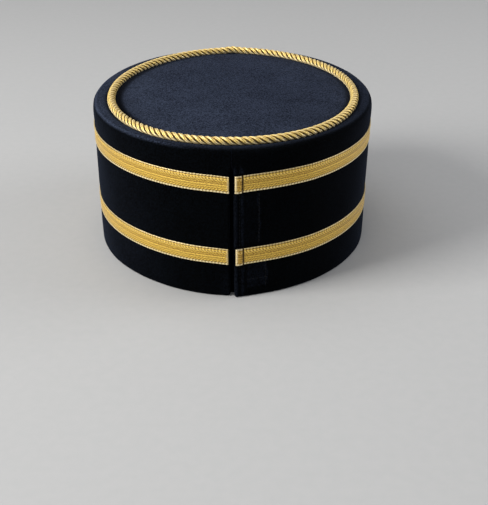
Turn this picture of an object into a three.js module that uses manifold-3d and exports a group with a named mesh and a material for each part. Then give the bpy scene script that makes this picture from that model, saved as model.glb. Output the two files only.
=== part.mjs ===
// A ceremonial cap: a stiff oval pillbox of dark velvet with a flat top. A twisted gold cord is
// sewn round the top, two bands of gold braid run round the wall, and the wall opens at the back.
// Millimetres, +Z up. The wearer faces -Y, so the opening is at +Y and their left is at +X.
import * as THREE from 'three';
import { mergeVertices } from 'three/addons/utils/BufferGeometryUtils.js';
import Module from 'manifold-3d';

// Driving dimensions
const RIM_HALF_WIDTH = 88; // outside of the wall at the hem
const TOP_HALF_WIDTH = 88.8; // outside of the wall at the top
const TOP_Z = 92.9; // flat of the top above the hem
const WALL = 2.6; // velvet over its stiff core
const FLANGE = 1.2; // velvet turned over the top edge
const LAP = 1.5; // edge of the top panel under that flange
const LAP_REACH = 5.5; // how far the lap runs out past the cord's centre line
const SHOULDER_R = 3.6;
const SHOULDER_STEPS = 3;
const HEM_R = 0.7;
const GAP = 0.3; // clearance between neighbouring pieces
const COLUMNS = 96; // sections round the wall
const BBOX_CENTRE_Y = 0.49; // the flaps and braid stand further out at the back than at the front

// Cord: strands laid right-handed, flattened a little by its stitching
const CORD_HALF_WIDTH = 76.9; // centre line, side to side
const CORD = { wide: 5.4, high: 5.0, strands: 4, turns: 35, sectionsPerTurn: 8, valley: 0.8 };
const CHANNEL = CORD.wide / 2 - 0.05; // half of the groove over the seam, which the cord lies in

// Back opening and the strip behind it. The wearer's right flap is at -X.
const OPENING = { right: -0.9, left: 1.35, top: 82 };
const UNDERLAP = { reach: 16, bottom: 0.8, top: 84, thick: 1.4, sections: 9 };

// Braid bands, by height of the centre line. right and left are where the ends stop beside the opening.
const BRAID = { wide: 10.8, thick: 1.0, edge: 0.6, flat: 0.8 };
const BANDS = [
  { name: 'upper_galon', z: 73.5, right: -1.65, left: 1.75 },
  { name: 'lower_galon', z: 27.6, right: -1.9, left: 2.2 },
];
// The right end of each band is folded under and sewn down: thickness by distance from the fold.
const FOLD = [
  { along: 0, thick: 1.1 },
  { along: 0.6, thick: 1.8 },
  { along: 3.3, thick: 1.7 },
  { along: 4.0, thick: 0.6 },
  { along: 4.7, thick: 1.0 },
];

// How the flaps depart from the oval, by height. A lift is how far a flap's edge stands out, and the
// hollow is how far the right flap is drawn in behind its edge.
const FLAPS = [
  { z: 0, leftLift: 0.2, rightLift: 2.2, rightHollow: 0 },
  { z: 28, leftLift: 0.9, rightLift: 0.9, rightHollow: 0.6 },
  { z: 80, leftLift: 1.5, rightLift: 0.4, rightHollow: 1.1 },
  { z: TOP_Z - SHOULDER_R, leftLift: 0, rightLift: 0, rightHollow: 0 },
];
const FLAP_REACH = { leftLift: 12, rightLift: 20, rightHollow: 46 };

// Plans. Each is an ellipse changed by small shares: egg widens the back and narrows the front,
// pinch draws the sides in towards an end, and bulge fills the diagonals.
const WALL_PLAN = { depth: 1.16, egg: 0, back: { pinch: -0.2, bulge: 0.11 }, front: { pinch: 0, bulge: 0 } };
const CORD_PLAN = {
  depth: 1.184,
  egg: 0.033,
  back: { pinch: 0.017, bulge: 0.04 },
  front: { pinch: -0.037, bulge: -0.014 },
};

const VELVET = { color: 0x14161d, roughness: 0.95, metalness: 0 };
const GOLD_CORD = { color: 0xc9a95f, roughness: 0.4, metalness: 0.8 };
const GOLD_BRAID = { color: 0xb9964c, roughness: 0.45, metalness: 0.8 };

const wasm = await Module();
wasm.setup();

/** The point of a plan at an angle counted from +X towards +Y. */
function oval(angle, halfWidth, plan) {
  const c = Math.cos(angle);
  const s = Math.sin(angle);
  const end = s > 0 ? plan.back : plan.front;
  const x = halfWidth * c * (1 + plan.egg * s + end.pinch * s ** 4);
  const y = halfWidth * plan.depth * s * (1 + end.bulge * (c * s) ** 2);
  return new THREE.Vector2(x, y);
}

/** The plan's unit normal there, pointing out. */
function outward(angle, halfWidth, plan) {
  const step = 1e-3;
  const along = oval(angle + step, halfWidth, plan).sub(oval(angle - step, halfWidth, plan));
  return new THREE.Vector2(along.y, -along.x).normalize();
}

/** The angle at the back where the wall's plan is at x. */
function backAngle(x) {
  const perRadian = -oval(Math.PI / 2 + 1e-3, RIM_HALF_WIDTH, WALL_PLAN).x / 1e-3;
  return Math.PI / 2 - x / perRadian;
}

/** A column of the flaps' table at a height, between its two nearest rows. */
function flapAmount(column, z) {
  const above = FLAPS.findIndex((row) => row.z >= z);
  if (above === -1) return FLAPS[FLAPS.length - 1][column];
  if (above === 0) return FLAPS[0][column];
  const low = FLAPS[above - 1];
  const high = FLAPS[above];
  return THREE.MathUtils.mapLinear(z, low.z, high.z, low[column], high[column]);
}

/** How far the wall stands out from its plan beside the opening. */
function flapOffset(at, z) {
  if (at.y < 0) return 0;
  const share = (column) => Math.min(1, Math.abs(at.x) / FLAP_REACH[column]);
  const amount = (column) => flapAmount(column, z);
  if (at.x > 0) return amount('leftLift') * (1 - share('leftLift')) ** 2;
  const hollow = amount('rightHollow') * Math.sin(Math.PI * share('rightHollow'));
  return amount('rightLift') * (1 - share('rightLift')) ** 2 - hollow;
}

/** A point a distance outside the wall's outer face, or inside it where out is negative. */
function wallPoint(angle, z, out, follow = flapOffset) {
  const halfWidth = THREE.MathUtils.lerp(RIM_HALF_WIDTH, TOP_HALF_WIDTH, z / TOP_Z);
  const at = oval(angle, halfWidth, WALL_PLAN);
  const shift = out + follow(at, z);
  const normal = outward(angle, halfWidth, WALL_PLAN);
  return new THREE.Vector3(at.x + normal.x * shift, at.y + normal.y * shift, z);
}

/** A point a distance outside the cord's centre line, seen from above. */
function cordPoint(angle, z, out) {
  const at = oval(angle, CORD_HALF_WIDTH, CORD_PLAN);
  const normal = outward(angle, CORD_HALF_WIDTH, CORD_PLAN);
  return new THREE.Vector3(at.x + normal.x * out, at.y + normal.y * out, z);
}

/** A solid through sections, each a loop up one side and down the other: a ring, or a strip with ends. */
function loft(sections, ring) {
  const count = sections[0].length;
  const triangles = [];
  const last = ring ? sections.length : sections.length - 1;
  for (let s = 0; s < last; s += 1) {
    const next = ((s + 1) % sections.length) * count;
    for (let k = 0; k < count; k += 1) {
      const a = s * count + k;
      const b = s * count + ((k + 1) % count);
      const c = next + ((k + 1) % count);
      const d = next + k;
      triangles.push(a, d, c, a, c, b);
    }
  }
  if (!ring) {
    const end = (sections.length - 1) * count;
    for (let k = 0; k < count / 2 - 1; k += 1) {
      const [a, b, c, d] = [k, k + 1, count - 2 - k, count - 1 - k];
      triangles.push(a, b, c, a, c, d);
      triangles.push(end + a, end + c, end + b, end + a, end + d, end + c);
    }
  }
  const geometry = new THREE.BufferGeometry().setFromPoints(sections.flat());
  geometry.setIndex(triangles);
  return geometry;
}

/** A three.js geometry as a manifold solid. */
function solid(geometry) {
  const bare = geometry.clone();
  bare.deleteAttribute('normal');
  bare.deleteAttribute('uv');
  const merged = mergeVertices(bare);
  const mesh = new wasm.Mesh({
    numProp: 3,
    vertProperties: merged.attributes.position.array,
    triVerts: Uint32Array.from(merged.index.array),
  });
  return new wasm.Manifold(mesh);
}

/** A manifold solid as a three.js geometry. */
function geometryOf(manifold) {
  const mesh = manifold.getMesh();
  const geometry = new THREE.BufferGeometry();
  geometry.setAttribute('position', new THREE.BufferAttribute(mesh.vertProperties, mesh.numProp));
  geometry.setIndex(new THREE.BufferAttribute(mesh.triVerts, 1));
  return geometry;
}

/** Angles round the wall from the opening's right side at -X, round the front, to its left side at +X. */
function columnAngles(right, left) {
  const step = (2 * Math.PI) / COLUMNS;
  const first = backAngle(right);
  const last = backAngle(left) + 2 * Math.PI;
  const angles = [first];
  for (let k = 1; k < COLUMNS; k += 1) angles.push(Math.PI / 2 + k * step);
  angles.push(last);
  return angles;
}

/** The wall's cross-section at an angle: up the outside, over the shoulder, and down the inside. */
function wallSection(angle) {
  const kinks = FLAPS.map((row) => row.z).slice(1);
  const points = [wallPoint(angle, 0, -HEM_R), wallPoint(angle, HEM_R, 0)];
  kinks.forEach((z) => points.push(wallPoint(angle, z, 0)));
  for (let k = 1; k <= SHOULDER_STEPS; k += 1) {
    const turn = (k / SHOULDER_STEPS) * (Math.PI / 2);
    const z = TOP_Z - SHOULDER_R * (1 - Math.sin(turn));
    points.push(wallPoint(angle, z, -SHOULDER_R * (1 - Math.cos(turn))));
  }
  points.push(cordPoint(angle, TOP_Z, CHANNEL), cordPoint(angle, TOP_Z - FLANGE, CHANNEL));
  points.push(wallPoint(angle, TOP_Z - FLANGE, -WALL));
  kinks.reverse().forEach((z) => points.push(wallPoint(angle, z, -WALL)));
  points.push(wallPoint(angle, 0, -WALL));
  return points;
}

function sideWall() {
  const middle = (OPENING.left + OPENING.right) / 2;
  const inside = 0.4; // the two columns in the opening, which the cut takes away
  const angles = columnAngles(OPENING.right + inside, OPENING.left - inside);
  const body = loft(angles.map(wallSection), true);
  const deep = 40;
  const below = 5;
  const cut = new THREE.BoxGeometry(OPENING.left - OPENING.right, deep, OPENING.top + below);
  cut.translate(middle, RIM_HALF_WIDTH * WALL_PLAN.depth, (OPENING.top - below) / 2);
  return geometryOf(solid(body).subtract(solid(cut)));
}

/** A flat plate with the cord's plan, a distance outside its centre line. */
function ovalPlate(out, bottom, top) {
  const outline = [];
  for (let k = 0; k < COLUMNS; k += 1) outline.push(cordPoint((k / COLUMNS) * 2 * Math.PI, 0, out));
  const plate = new THREE.ExtrudeGeometry(new THREE.Shape(outline), { depth: top - bottom, bevelEnabled: false });
  return plate.translate(0, 0, bottom);
}

function topPanel() {
  const lapTop = TOP_Z - FLANGE - GAP;
  const bottom = lapTop - LAP;
  const top = ovalPlate(-CHANNEL, bottom, TOP_Z);
  const lap = ovalPlate(LAP_REACH, bottom, lapTop);
  return geometryOf(solid(top).add(solid(lap)));
}

/** The cord's cross-section: a crest and a valley for each strand, turned a little further each time. */
function crownCord() {
  const centreZ = TOP_Z - FLANGE + CORD.high / 2;
  const count = CORD.turns * CORD.sectionsPerTurn;
  const corners = 2 * CORD.strands;
  const sections = [];
  for (let s = 0; s < count; s += 1) {
    const angle = (s / count) * 2 * Math.PI;
    const twist = (-s / CORD.sectionsPerTurn) * 2 * Math.PI;
    const section = [];
    for (let k = 0; k < corners; k += 1) {
      const turn = twist + (k / corners) * 2 * Math.PI;
      const radius = k % 2 ? CORD.valley : 1;
      const z = centreZ + (CORD.high / 2) * radius * Math.sin(turn);
      section.push(cordPoint(angle, z, (CORD.wide / 2) * radius * Math.cos(turn)));
    }
    sections.push(section);
  }
  return loft(sections, true);
}

/** One braid band: a crowned strip 0.3 mm off the wall, thicker where its right end is folded. */
function braidBand(band) {
  const foldAngles = FOLD.map((row) => backAngle(band.right - row.along));
  const rest = columnAngles(band.right, band.left).filter((angle) => angle > foldAngles[FOLD.length - 1]);
  const half = BRAID.wide / 2;
  const sections = [...foldAngles, ...rest].map((angle, s) => {
    const thick = s < FOLD.length ? FOLD[s].thick : BRAID.thick;
    const edge = BRAID.edge * thick;
    return [
      wallPoint(angle, band.z - half, GAP),
      wallPoint(angle, band.z - half, GAP + edge),
      wallPoint(angle, band.z - half * BRAID.flat, GAP + thick),
      wallPoint(angle, band.z + half * BRAID.flat, GAP + thick),
      wallPoint(angle, band.z + half, GAP + edge),
      wallPoint(angle, band.z + half, GAP),
    ];
  });
  return loft(sections, false);
}

/** The strip behind the opening. It follows the flaps only where they are drawn in. */
function backUnderlap() {
  const drawnIn = (at, z) => Math.min(0, flapOffset(at, z));
  const outer = -WALL - GAP;
  const inner = outer - UNDERLAP.thick;
  const heights = [UNDERLAP.bottom, FLAPS[1].z, FLAPS[2].z, UNDERLAP.top];
  const sections = [];
  for (let s = 0; s < UNDERLAP.sections; s += 1) {
    const x = THREE.MathUtils.lerp(-UNDERLAP.reach, UNDERLAP.reach, s / (UNDERLAP.sections - 1));
    const angle = backAngle(x);
    const outside = heights.map((z) => wallPoint(angle, z, outer, drawnIn));
    const inside = heights.map((z) => wallPoint(angle, z, inner, drawnIn)).reverse();
    sections.unshift([...outside, ...inside]);
  }
  return loft(sections, false);
}

function piece(name, geometry, look) {
  const mesh = new THREE.Mesh(geometry, new THREE.MeshStandardMaterial(look));
  mesh.name = name;
  return mesh;
}

const cap = new THREE.Group();
cap.name = 'ceremonial_cap';
cap.position.y = -BBOX_CENTRE_Y;
cap.add(piece('side_wall', sideWall(), VELVET));
cap.add(piece('top_panel', topPanel(), VELVET));
cap.add(piece('crown_cord', crownCord(), GOLD_CORD));
BANDS.forEach((band) => cap.add(piece(band.name, braidBand(band), GOLD_BRAID)));
cap.add(piece('back_underlap', backUnderlap(), VELVET));

export default cap;
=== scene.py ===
# %% [markdown]
# # A ceremonial cap, dressed in Blender
# The cap is a stiff oval pillbox of dark velvet. A twisted gold cord is sewn round its flat top, two
# bands of woven gold braid run round the wall, and the wall opens at the back between two flaps. The
# solid model already holds the true size and the place of each piece, so it is loaded first and kept
# as a fixed frame. Every surface below is worked out in millimetres, as a hat maker would measure it.

import bmesh
import bpy
import numpy as np
from mathutils import Euler, Matrix, Vector


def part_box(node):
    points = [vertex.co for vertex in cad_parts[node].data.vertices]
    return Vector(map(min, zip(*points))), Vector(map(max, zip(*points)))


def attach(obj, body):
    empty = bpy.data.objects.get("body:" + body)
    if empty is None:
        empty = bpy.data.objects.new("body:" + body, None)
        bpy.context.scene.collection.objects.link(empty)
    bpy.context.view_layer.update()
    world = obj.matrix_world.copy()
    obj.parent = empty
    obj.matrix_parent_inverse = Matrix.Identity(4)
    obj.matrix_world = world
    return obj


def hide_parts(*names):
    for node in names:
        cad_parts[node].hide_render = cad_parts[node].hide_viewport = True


MM = 0.001  # one millimetre in Blender's metres
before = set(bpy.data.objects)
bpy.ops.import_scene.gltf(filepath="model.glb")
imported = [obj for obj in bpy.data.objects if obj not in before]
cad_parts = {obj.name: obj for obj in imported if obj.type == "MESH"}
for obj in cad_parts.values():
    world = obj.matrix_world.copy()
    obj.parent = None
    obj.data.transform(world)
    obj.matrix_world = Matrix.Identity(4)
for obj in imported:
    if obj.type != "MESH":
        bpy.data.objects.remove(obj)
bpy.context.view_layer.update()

# %% [markdown]
# # Camera
# The photograph looks at the back of the cap from a little above it. Its lens and height were found by
# fitting the plan of the cord and the two braid bands to their outlines, which is why the numbers are
# not round. The cap stands a little left of the middle, and a lens shift gives that without turning
# the camera.

# %% The photograph's camera
PHOTO_WIDE, PHOTO_HIGH = 488, 505
SENSOR = 36.0  # along the longer side of the picture
FOCAL_PIXELS = 974.8
CAMERA_BACK, CAMERA_HIGH = 604.8, 290.5  # from the middle of the plan, and above the hem
LOOK_DOWN = np.radians(27.48)
CAMERA_ROLL = -0.008
AXIS_COLUMN, AXIS_ROW = 233.2, 252.9  # where the lens axis meets the picture

top_low, top_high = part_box("top_panel")
PLAN_Y = (top_low.y + top_high.y) / 2 / MM  # the middle of the plan in the frame

lens = bpy.data.cameras.new("photo_camera")
lens.sensor_width = SENSOR
lens.lens = SENSOR * FOCAL_PIXELS / PHOTO_HIGH
lens.shift_x = (PHOTO_WIDE / 2 - AXIS_COLUMN) / PHOTO_HIGH
lens.shift_y = (AXIS_ROW - PHOTO_HIGH / 2) / PHOTO_HIGH
lens.clip_start = 10 * MM
camera = bpy.data.objects.new("photo_camera", lens)
camera.location = (0, (PLAN_Y + CAMERA_BACK) * MM, CAMERA_HIGH * MM)
level_turn = Euler((np.pi / 2 - LOOK_DOWN, 0, np.pi)).to_matrix()
camera.rotation_euler = (level_turn @ Matrix.Rotation(CAMERA_ROLL, 3, "Z")).to_euler()
bpy.context.scene.collection.objects.link(camera)
bpy.context.scene.camera = camera
print(f"lens {lens.lens:.1f} mm, shift {lens.shift_x:.4f}, plan centre {PLAN_Y:.2f} mm")

# %% [markdown]
# # Soft curves
# Cloth and thread have no hard steps. A few small curves, used all through the script, lead one thing
# into the next. Each takes whole arrays, so one line shapes a whole surface.

# %% Steps, bells, borders and waves
SOFT_END = 0.5  # half the length over which a stretch begins or ends


def smooth(low, high, value):
    """A soft step: nought below low, one above high, and a cubic between."""
    t = np.clip((value - low) / (high - low), 0, 1)
    return t * t * (3 - 2 * t)


def span(value, low, high):
    """One between two ends, which are soft steps."""
    begun = smooth(low - SOFT_END, low + SOFT_END, value)
    return begun * (1 - smooth(high - SOFT_END, high + SOFT_END, value))


def bell(value, middle, width):
    """A bell curve: one at the middle, falling with the squared distance over its width."""
    return np.exp(-(((value - middle) / width) ** 2))


def rounded(distance, radius):
    """The share of full thickness at a distance inside a rounded border: a quarter of an ellipse."""
    t = np.clip(distance / radius, 0, 1)
    return np.sqrt(np.clip(1 - (1 - t) ** 2, 0, 1))


def swing(value, pitch, depth, phase=0.0):
    """A share that swings along a length: one less the depth, and the depth times a cosine."""
    return 1 - depth + depth * np.cos(2 * np.pi * value / pitch + phase)


def run_length(points):
    """Length along a line of points from the first of them: the sum of the steps so far."""
    return np.concatenate([[0], np.cumsum(np.linalg.norm(np.diff(points, axis=0), axis=1))])


print("half way along a soft step", smooth(0, 1, 0.5), "and one width down a bell", round(bell(1, 0, 1), 3))

# %% [markdown]
# # The plan of the cap
# Seen from above, the wall and the cord are both ovals, but not plain ellipses: a head is broader at
# the back. Each is an ellipse with small shares added, the same ones that shaped the solids, so the
# dressed pieces land on them. Beside the opening the two flaps leave the oval a little, because cloth
# that is free to move never lies quite true.

# %% Oval plans
RIM_HALF_WIDTH, TOP_HALF_WIDTH = 87.9, 89.2
TOP_Z = 92.9  # flat of the top above the hem
CORD_HALF_WIDTH, CORD_SHIFT = 77.2, -0.6
WALL_PLAN = {"depth": 1.16, "egg": 0, "pinch": (-0.2, 0), "bulge": (0.11, 0.06)}
CORD_PLAN = {"depth": 1.184, "egg": 0.033, "pinch": (0.017, -0.037), "bulge": (0.04, -0.014)}
ANGLE_STEP = 1e-3


def oval(angle, half_width, plan):
    """A plan's point at an angle from +X towards +Y. x is the half width times the cosine, changed by
    a share of the sine and of its fourth power. y is the half depth times the sine, changed by a share
    of the squared product of sine and cosine. Back and front have their own shares."""
    c, s = np.cos(angle), np.sin(angle)
    pinch = np.where(s > 0, *plan["pinch"])
    bulge = np.where(s > 0, *plan["bulge"])
    x = half_width * c * (1 + plan["egg"] * s + pinch * s**4)
    y = half_width * plan["depth"] * s * (1 + bulge * (c * s) ** 2)
    return np.stack(np.broadcast_arrays(x, y), axis=-1)


def outward(angle, half_width, plan):
    """The plan's unit normal: the step along the plan, turned a quarter to the outside."""
    step = oval(angle + ANGLE_STEP, half_width, plan) - oval(angle - ANGLE_STEP, half_width, plan)
    normal = np.stack([step[..., 1], -step[..., 0]], axis=-1)
    return normal / np.linalg.norm(normal, axis=-1, keepdims=True)


BACK_REACH = -oval(np.pi / 2 + ANGLE_STEP, RIM_HALF_WIDTH, WALL_PLAN)[0] / ANGLE_STEP


def back_angle(x):
    """The angle at the back where the wall's plan is at x: a quarter turn less x over the plan's reach."""
    return np.pi / 2 - x / BACK_REACH


print("half widths", RIM_HALF_WIDTH, "to", TOP_HALF_WIDTH, "mm, back reach", round(float(BACK_REACH), 2))

# %% The wall's outer face, flaps and all
FLAP_Z = (0, 28, 80, 89.3)  # heights at which the next three rows hold
LEFT_LIFT = (0.2, 0.9, 1.5, 0)  # how far the left flap's edge stands out
RIGHT_LIFT = (2.2, 0.9, 0.4, 0)  # the same for the right flap
RIGHT_HOLLOW = (0, 0.6, 1.1, 0)  # how far the right flap is drawn in behind its edge
LEFT_REACH, RIGHT_REACH, HOLLOW_REACH = 12, 20, 46
LEAN_LOW, LEAN_HIGH = 0.3, -0.22  # how far the wall's sides stand to the left at the hem and at the top
DRAWN_IN, DRAWN_FROM = 0.9, TOP_Z - 8  # the cloth pulls the wall in just below the top
UPPER_Z, LOWER_Z = 73.5, 27.6  # the middles of the braid bands
WAIST, WAIST_HALF = 0.6, 7.5  # sewn tight, each braid draws the sides in


def flap_offset(x, y, z):
    """How far the wall leaves its plan beside the opening: a lift that falls off with the square of the
    distance from the flap's edge, less a hollow that is half a sine wave long."""
    left, right, hollow = (np.interp(z, FLAP_Z, row) for row in (LEFT_LIFT, RIGHT_LIFT, RIGHT_HOLLOW))
    far = np.abs(x)
    on_left = left * (1 - np.minimum(1, far / LEFT_REACH)) ** 2
    drawn_in = hollow * np.sin(np.pi * np.minimum(1, far / HOLLOW_REACH))
    on_right = right * (1 - np.minimum(1, far / RIGHT_REACH)) ** 2 - drawn_in
    return np.where(y < 0, 0, np.where(x > 0, on_left, on_right))


def wall_plan(angle, z):
    """The wall's plan at a height, and its outward normal. The half width grows in a straight line from
    the hem to the top, less a square just below the top and, at the sides, a bell at each braid. The two
    sides lean a little, by the square of the cosine."""
    share = z / TOP_Z
    half_width = RIM_HALF_WIDTH + (TOP_HALF_WIDTH - RIM_HALF_WIDTH) * share
    half_width = half_width - DRAWN_IN * np.clip((z - DRAWN_FROM) / (TOP_Z - DRAWN_FROM), 0, 1) ** 2
    tight = bell(z, UPPER_Z, WAIST_HALF) + bell(z, LOWER_Z, WAIST_HALF)
    half_width = half_width - WAIST * tight * np.cos(angle) ** 2
    at = oval(angle, half_width, WALL_PLAN)
    lean = (LEAN_LOW + (LEAN_HIGH - LEAN_LOW) * share) * np.cos(angle) ** 2
    at = at + np.stack(np.broadcast_arrays(lean, 0 * at[..., 1]), axis=-1)
    return at, outward(angle, half_width, WALL_PLAN)


def wall_frame(angle, z):
    """The wall's outer point in plan at an angle and height, flaps and all, and its normal there."""
    at, normal = wall_plan(angle, z)
    return at + normal * flap_offset(at[..., 0], at[..., 1], z)[..., None], normal


def raised(plan_point, z):
    """Plan points and heights as points of the frame, moved to the plan's middle."""
    x, y = plan_point[..., 0], plan_point[..., 1] + PLAN_Y
    return np.stack(np.broadcast_arrays(x, y, z), axis=-1)


def wall_point(angle, z, out):
    """A point a distance outside the wall's outer face."""
    angle, z, out = np.broadcast_arrays(angle, z, out)
    at, normal = wall_frame(angle, z)
    return raised(at + normal * out[..., None], z)


def cord_point(angle, z, out):
    """A point a distance outside the cord's centre line, seen from above."""
    angle, z, out = np.broadcast_arrays(angle, z, out)
    at = oval(angle, CORD_HALF_WIDTH, CORD_PLAN) + [CORD_SHIFT, 0]
    return raised(at + outward(angle, CORD_HALF_WIDTH, CORD_PLAN) * out[..., None], z)


mid_wall = wall_point(np.linspace(0, 2 * np.pi, 720), TOP_Z / 2, 0.0)
print("wall at mid height", np.round(mid_wall.min(0), 1), np.round(mid_wall.max(0), 1))

# %% [markdown]
# # From grids to meshes
# Each piece is a grid of points: one number runs round the cap and the other across the piece. Four
# neighbours make a face. Where a grid closes on itself, its last row joins its first, and where two
# grids meet, their shared points are merged, so that every piece is one closed skin.

# %% Helpers for meshes
MERGE = 1e-7  # points nearer than this, in metres, are one point


def cells(field, round_u, round_v):
    """The four corners of every cell: a grid beside itself shifted by one along each way."""
    if round_u:
        field = np.concatenate([field, field[:1]], axis=0)
    if round_v:
        field = np.concatenate([field, field[:, :1]], axis=1)
    return np.stack([field[:-1, :-1], field[1:, :-1], field[1:, 1:], field[:-1, 1:]], axis=2)


def grid(points, uv=None, round_u=False, round_v=False, finish=0, tone=None):
    """One grid of a piece: points in millimetres, flat lengths for patterns, which ways it closes,
    the number of its material, and up to three shares for each point that colour its threads."""
    shape = points.shape[:2]
    uv = np.zeros(shape + (2,)) if uv is None else np.broadcast_to(uv, shape + (2,))
    tone = np.zeros(shape + (3,)) if tone is None else np.broadcast_to(tone, shape + (3,))
    return {"points": points, "uv": uv, "round": (round_u, round_v), "finish": finish, "tone": tone}


def close_skin(mesh):
    """Merges shared points, fills what is still open, and turns every face outwards."""
    shape = bmesh.new()
    shape.from_mesh(mesh)
    bmesh.ops.remove_doubles(shape, verts=shape.verts, dist=MERGE)
    edges = [edge for edge in shape.edges if edge.is_boundary]
    if edges:
        bmesh.ops.holes_fill(shape, edges=edges, sides=0)
    bmesh.ops.recalc_face_normals(shape, faces=shape.faces)
    left_open = sum(not edge.is_manifold for edge in shape.edges)
    shape.to_mesh(mesh)
    shape.free()
    return left_open


def make_mesh(name, grids, materials):
    """A mesh object from grids: points are numbered grid after grid, and cells become faces."""
    points, faces, flat, finish, tone = [], [], [], [], []
    count = 0
    for part in grids:
        shape = part["points"].shape[:2]
        number = np.arange(count, count + shape[0] * shape[1]).reshape(shape)
        corners = cells(number, *part["round"])
        faces.append(corners.reshape(-1, 4))
        flat.append(cells(part["uv"], *part["round"]).reshape(-1, 2))
        finish.append(np.broadcast_to(part["finish"], corners.shape[:2]).reshape(-1))
        points.append(part["points"].reshape(-1, 3))
        tone.append(part["tone"].reshape(-1, 3))
        count += number.size
    points, faces, flat = np.concatenate(points) * MM, np.concatenate(faces), np.concatenate(flat)
    mesh = bpy.data.meshes.new(name)
    mesh.vertices.add(len(points))
    mesh.vertices.foreach_set("co", points.ravel())
    mesh.loops.add(faces.size)
    mesh.loops.foreach_set("vertex_index", faces.ravel())
    mesh.polygons.add(len(faces))
    mesh.polygons.foreach_set("loop_start", np.arange(0, faces.size, 4))
    mesh.polygons.foreach_set("material_index", np.concatenate(finish))
    mesh.update(calc_edges=True)
    mesh.uv_layers.new(name="cloth_mm").data.foreach_set("uv", flat.ravel())
    shares = np.concatenate([np.concatenate(tone), np.ones((len(points), 1))], axis=1)
    mesh.color_attributes.new("threads", "FLOAT_COLOR", "POINT").data.foreach_set("color", shares.ravel())
    left_open = close_skin(mesh)
    mesh.shade_smooth()
    for material in materials:
        mesh.materials.append(material)
    piece = bpy.data.objects.new(name, mesh)
    bpy.context.scene.collection.objects.link(piece)
    triangles = sum(len(face.vertices) - 2 for face in mesh.polygons)
    print(f"{name}: {triangles} triangles, {left_open} open edges")
    return piece


def dress(piece, slot, *nodes):
    """A piece rides on the one body and stands for its solids, which it hides. The slot is not used."""
    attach(piece, "root")
    if nodes:
        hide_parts(*nodes)


def sheet_grids(outer, inner, keep, uv, finishes, tone=None):
    """A sheet with two faces whose borders meet: each face is moved towards the middle of the two by
    the share that keep leaves out, so where keep is nought the faces touch and the border is closed."""
    middle = (outer + inner) / 2
    share = keep[..., None]
    front = grid(middle + (outer - middle) * share, uv, finish=finishes[0], tone=tone)
    back = grid(middle + (inner - middle) * share, uv, finish=finishes[1])
    return [front, back]


print("3 by 4 points make", cells(np.zeros((3, 4)), False, False).size // 4, "faces")

# %% [markdown]
# # Materials
# Each finish starts from what the real one is. A node editor would do as well as code, but code says
# how large each thread is: patterns are fed with lengths in millimetres, and a scale is one over the
# size of the thing it draws. Colours are written as they look on a screen and turned to linear light.

# %% Helpers for materials
NOISE_SPAN = {"From Min": 0.3, "From Max": 0.7}  # nearly all of a noise texture lies between these
WAVE_LENGTH = np.pi / 10  # of one stripe of the wave texture at scale one
SHARE, FIRST, SECOND, MIXED = 0, 6, 7, 2  # a Mix node's sockets for colours: three inputs, one output


def linear(code):
    """An sRGB hex colour as linear light: a straight part near black, and a power above it."""
    share = np.array([int(code[k : k + 2], 16) for k in (1, 3, 5)]) / 255
    light = np.where(share <= 0.04045, share / 12.92, ((share + 0.055) / 1.055) ** 2.4)
    return (*light, 1.0)


def new_material(name):
    """A material with an empty node tree."""
    material = bpy.data.materials.new(name)
    material.use_nodes = True
    material.node_tree.nodes.clear()
    return material


def add_node(material, kind, inputs=None, **settings):
    """Adds a node, sets its properties, and gives each input a value or a link from another socket."""
    node = material.node_tree.nodes.new("ShaderNode" + kind)
    for name, value in settings.items():
        setattr(node, name, value)
    for socket, value in (inputs or {}).items():
        if isinstance(value, bpy.types.NodeSocket):
            material.node_tree.links.new(value, node.inputs[socket])
        else:
            node.inputs[socket].default_value = value
    return node


print("middle grey is", round(linear("#808080")[0], 3), "in linear light")

# %% [markdown]
# # Cut velvet
# Cotton velvet is woven with loops that are cut to a short upright pile. The pile swallows light that
# comes from the front and returns a soft bloom at a glancing angle. Real hairs would be far too many, so
# noise draws the tufts, and sheen, which was made for such cloth, adds the bloom. The wall's pile lies
# downwards and is drawn almost black, which also paints in the shade of the upright wall. The top shows
# its navy. The mesh lays painted light and shade over that. The first share of its threads is the navy of
# the upright pile: on the top it is everywhere, and on the wall it is painted light. The second share is
# painted shade beside the cord, and the third is a painted highlight.

# %% Velvet of the wall and of the top
PILE_MM = 0.85  # tufts, drawn coarser than the real pile so that they show
CLOUD_MM = 24.0  # where the pile was stroked one way or the other
CLOUD_DARK, CLOUD_LIGHT = 0.34, 0.62  # how light the pile is in the darkest and the lightest clouds
TUFT_SWING = 0.65  # how much lighter or darker than its cloud a tuft may be
TUFT_DEPTH = 0.3
# The lying pile is the wall's near black, which also paints the shade of the upright wall, and its darkest
# is the painted shade beside the cord. The upright pile is the top's navy, laid on the wall as painted
# light, and the highlight pile is a painted highlight.
SHADED_LYING_PILE = ("#000000", "#030508")  # the darkest and the lightest tufts
UPRIGHT_PILE = ("#080b12", "#292f3e")
HIGHLIGHT_PILE = ("#12161f", "#3d4557")


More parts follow.
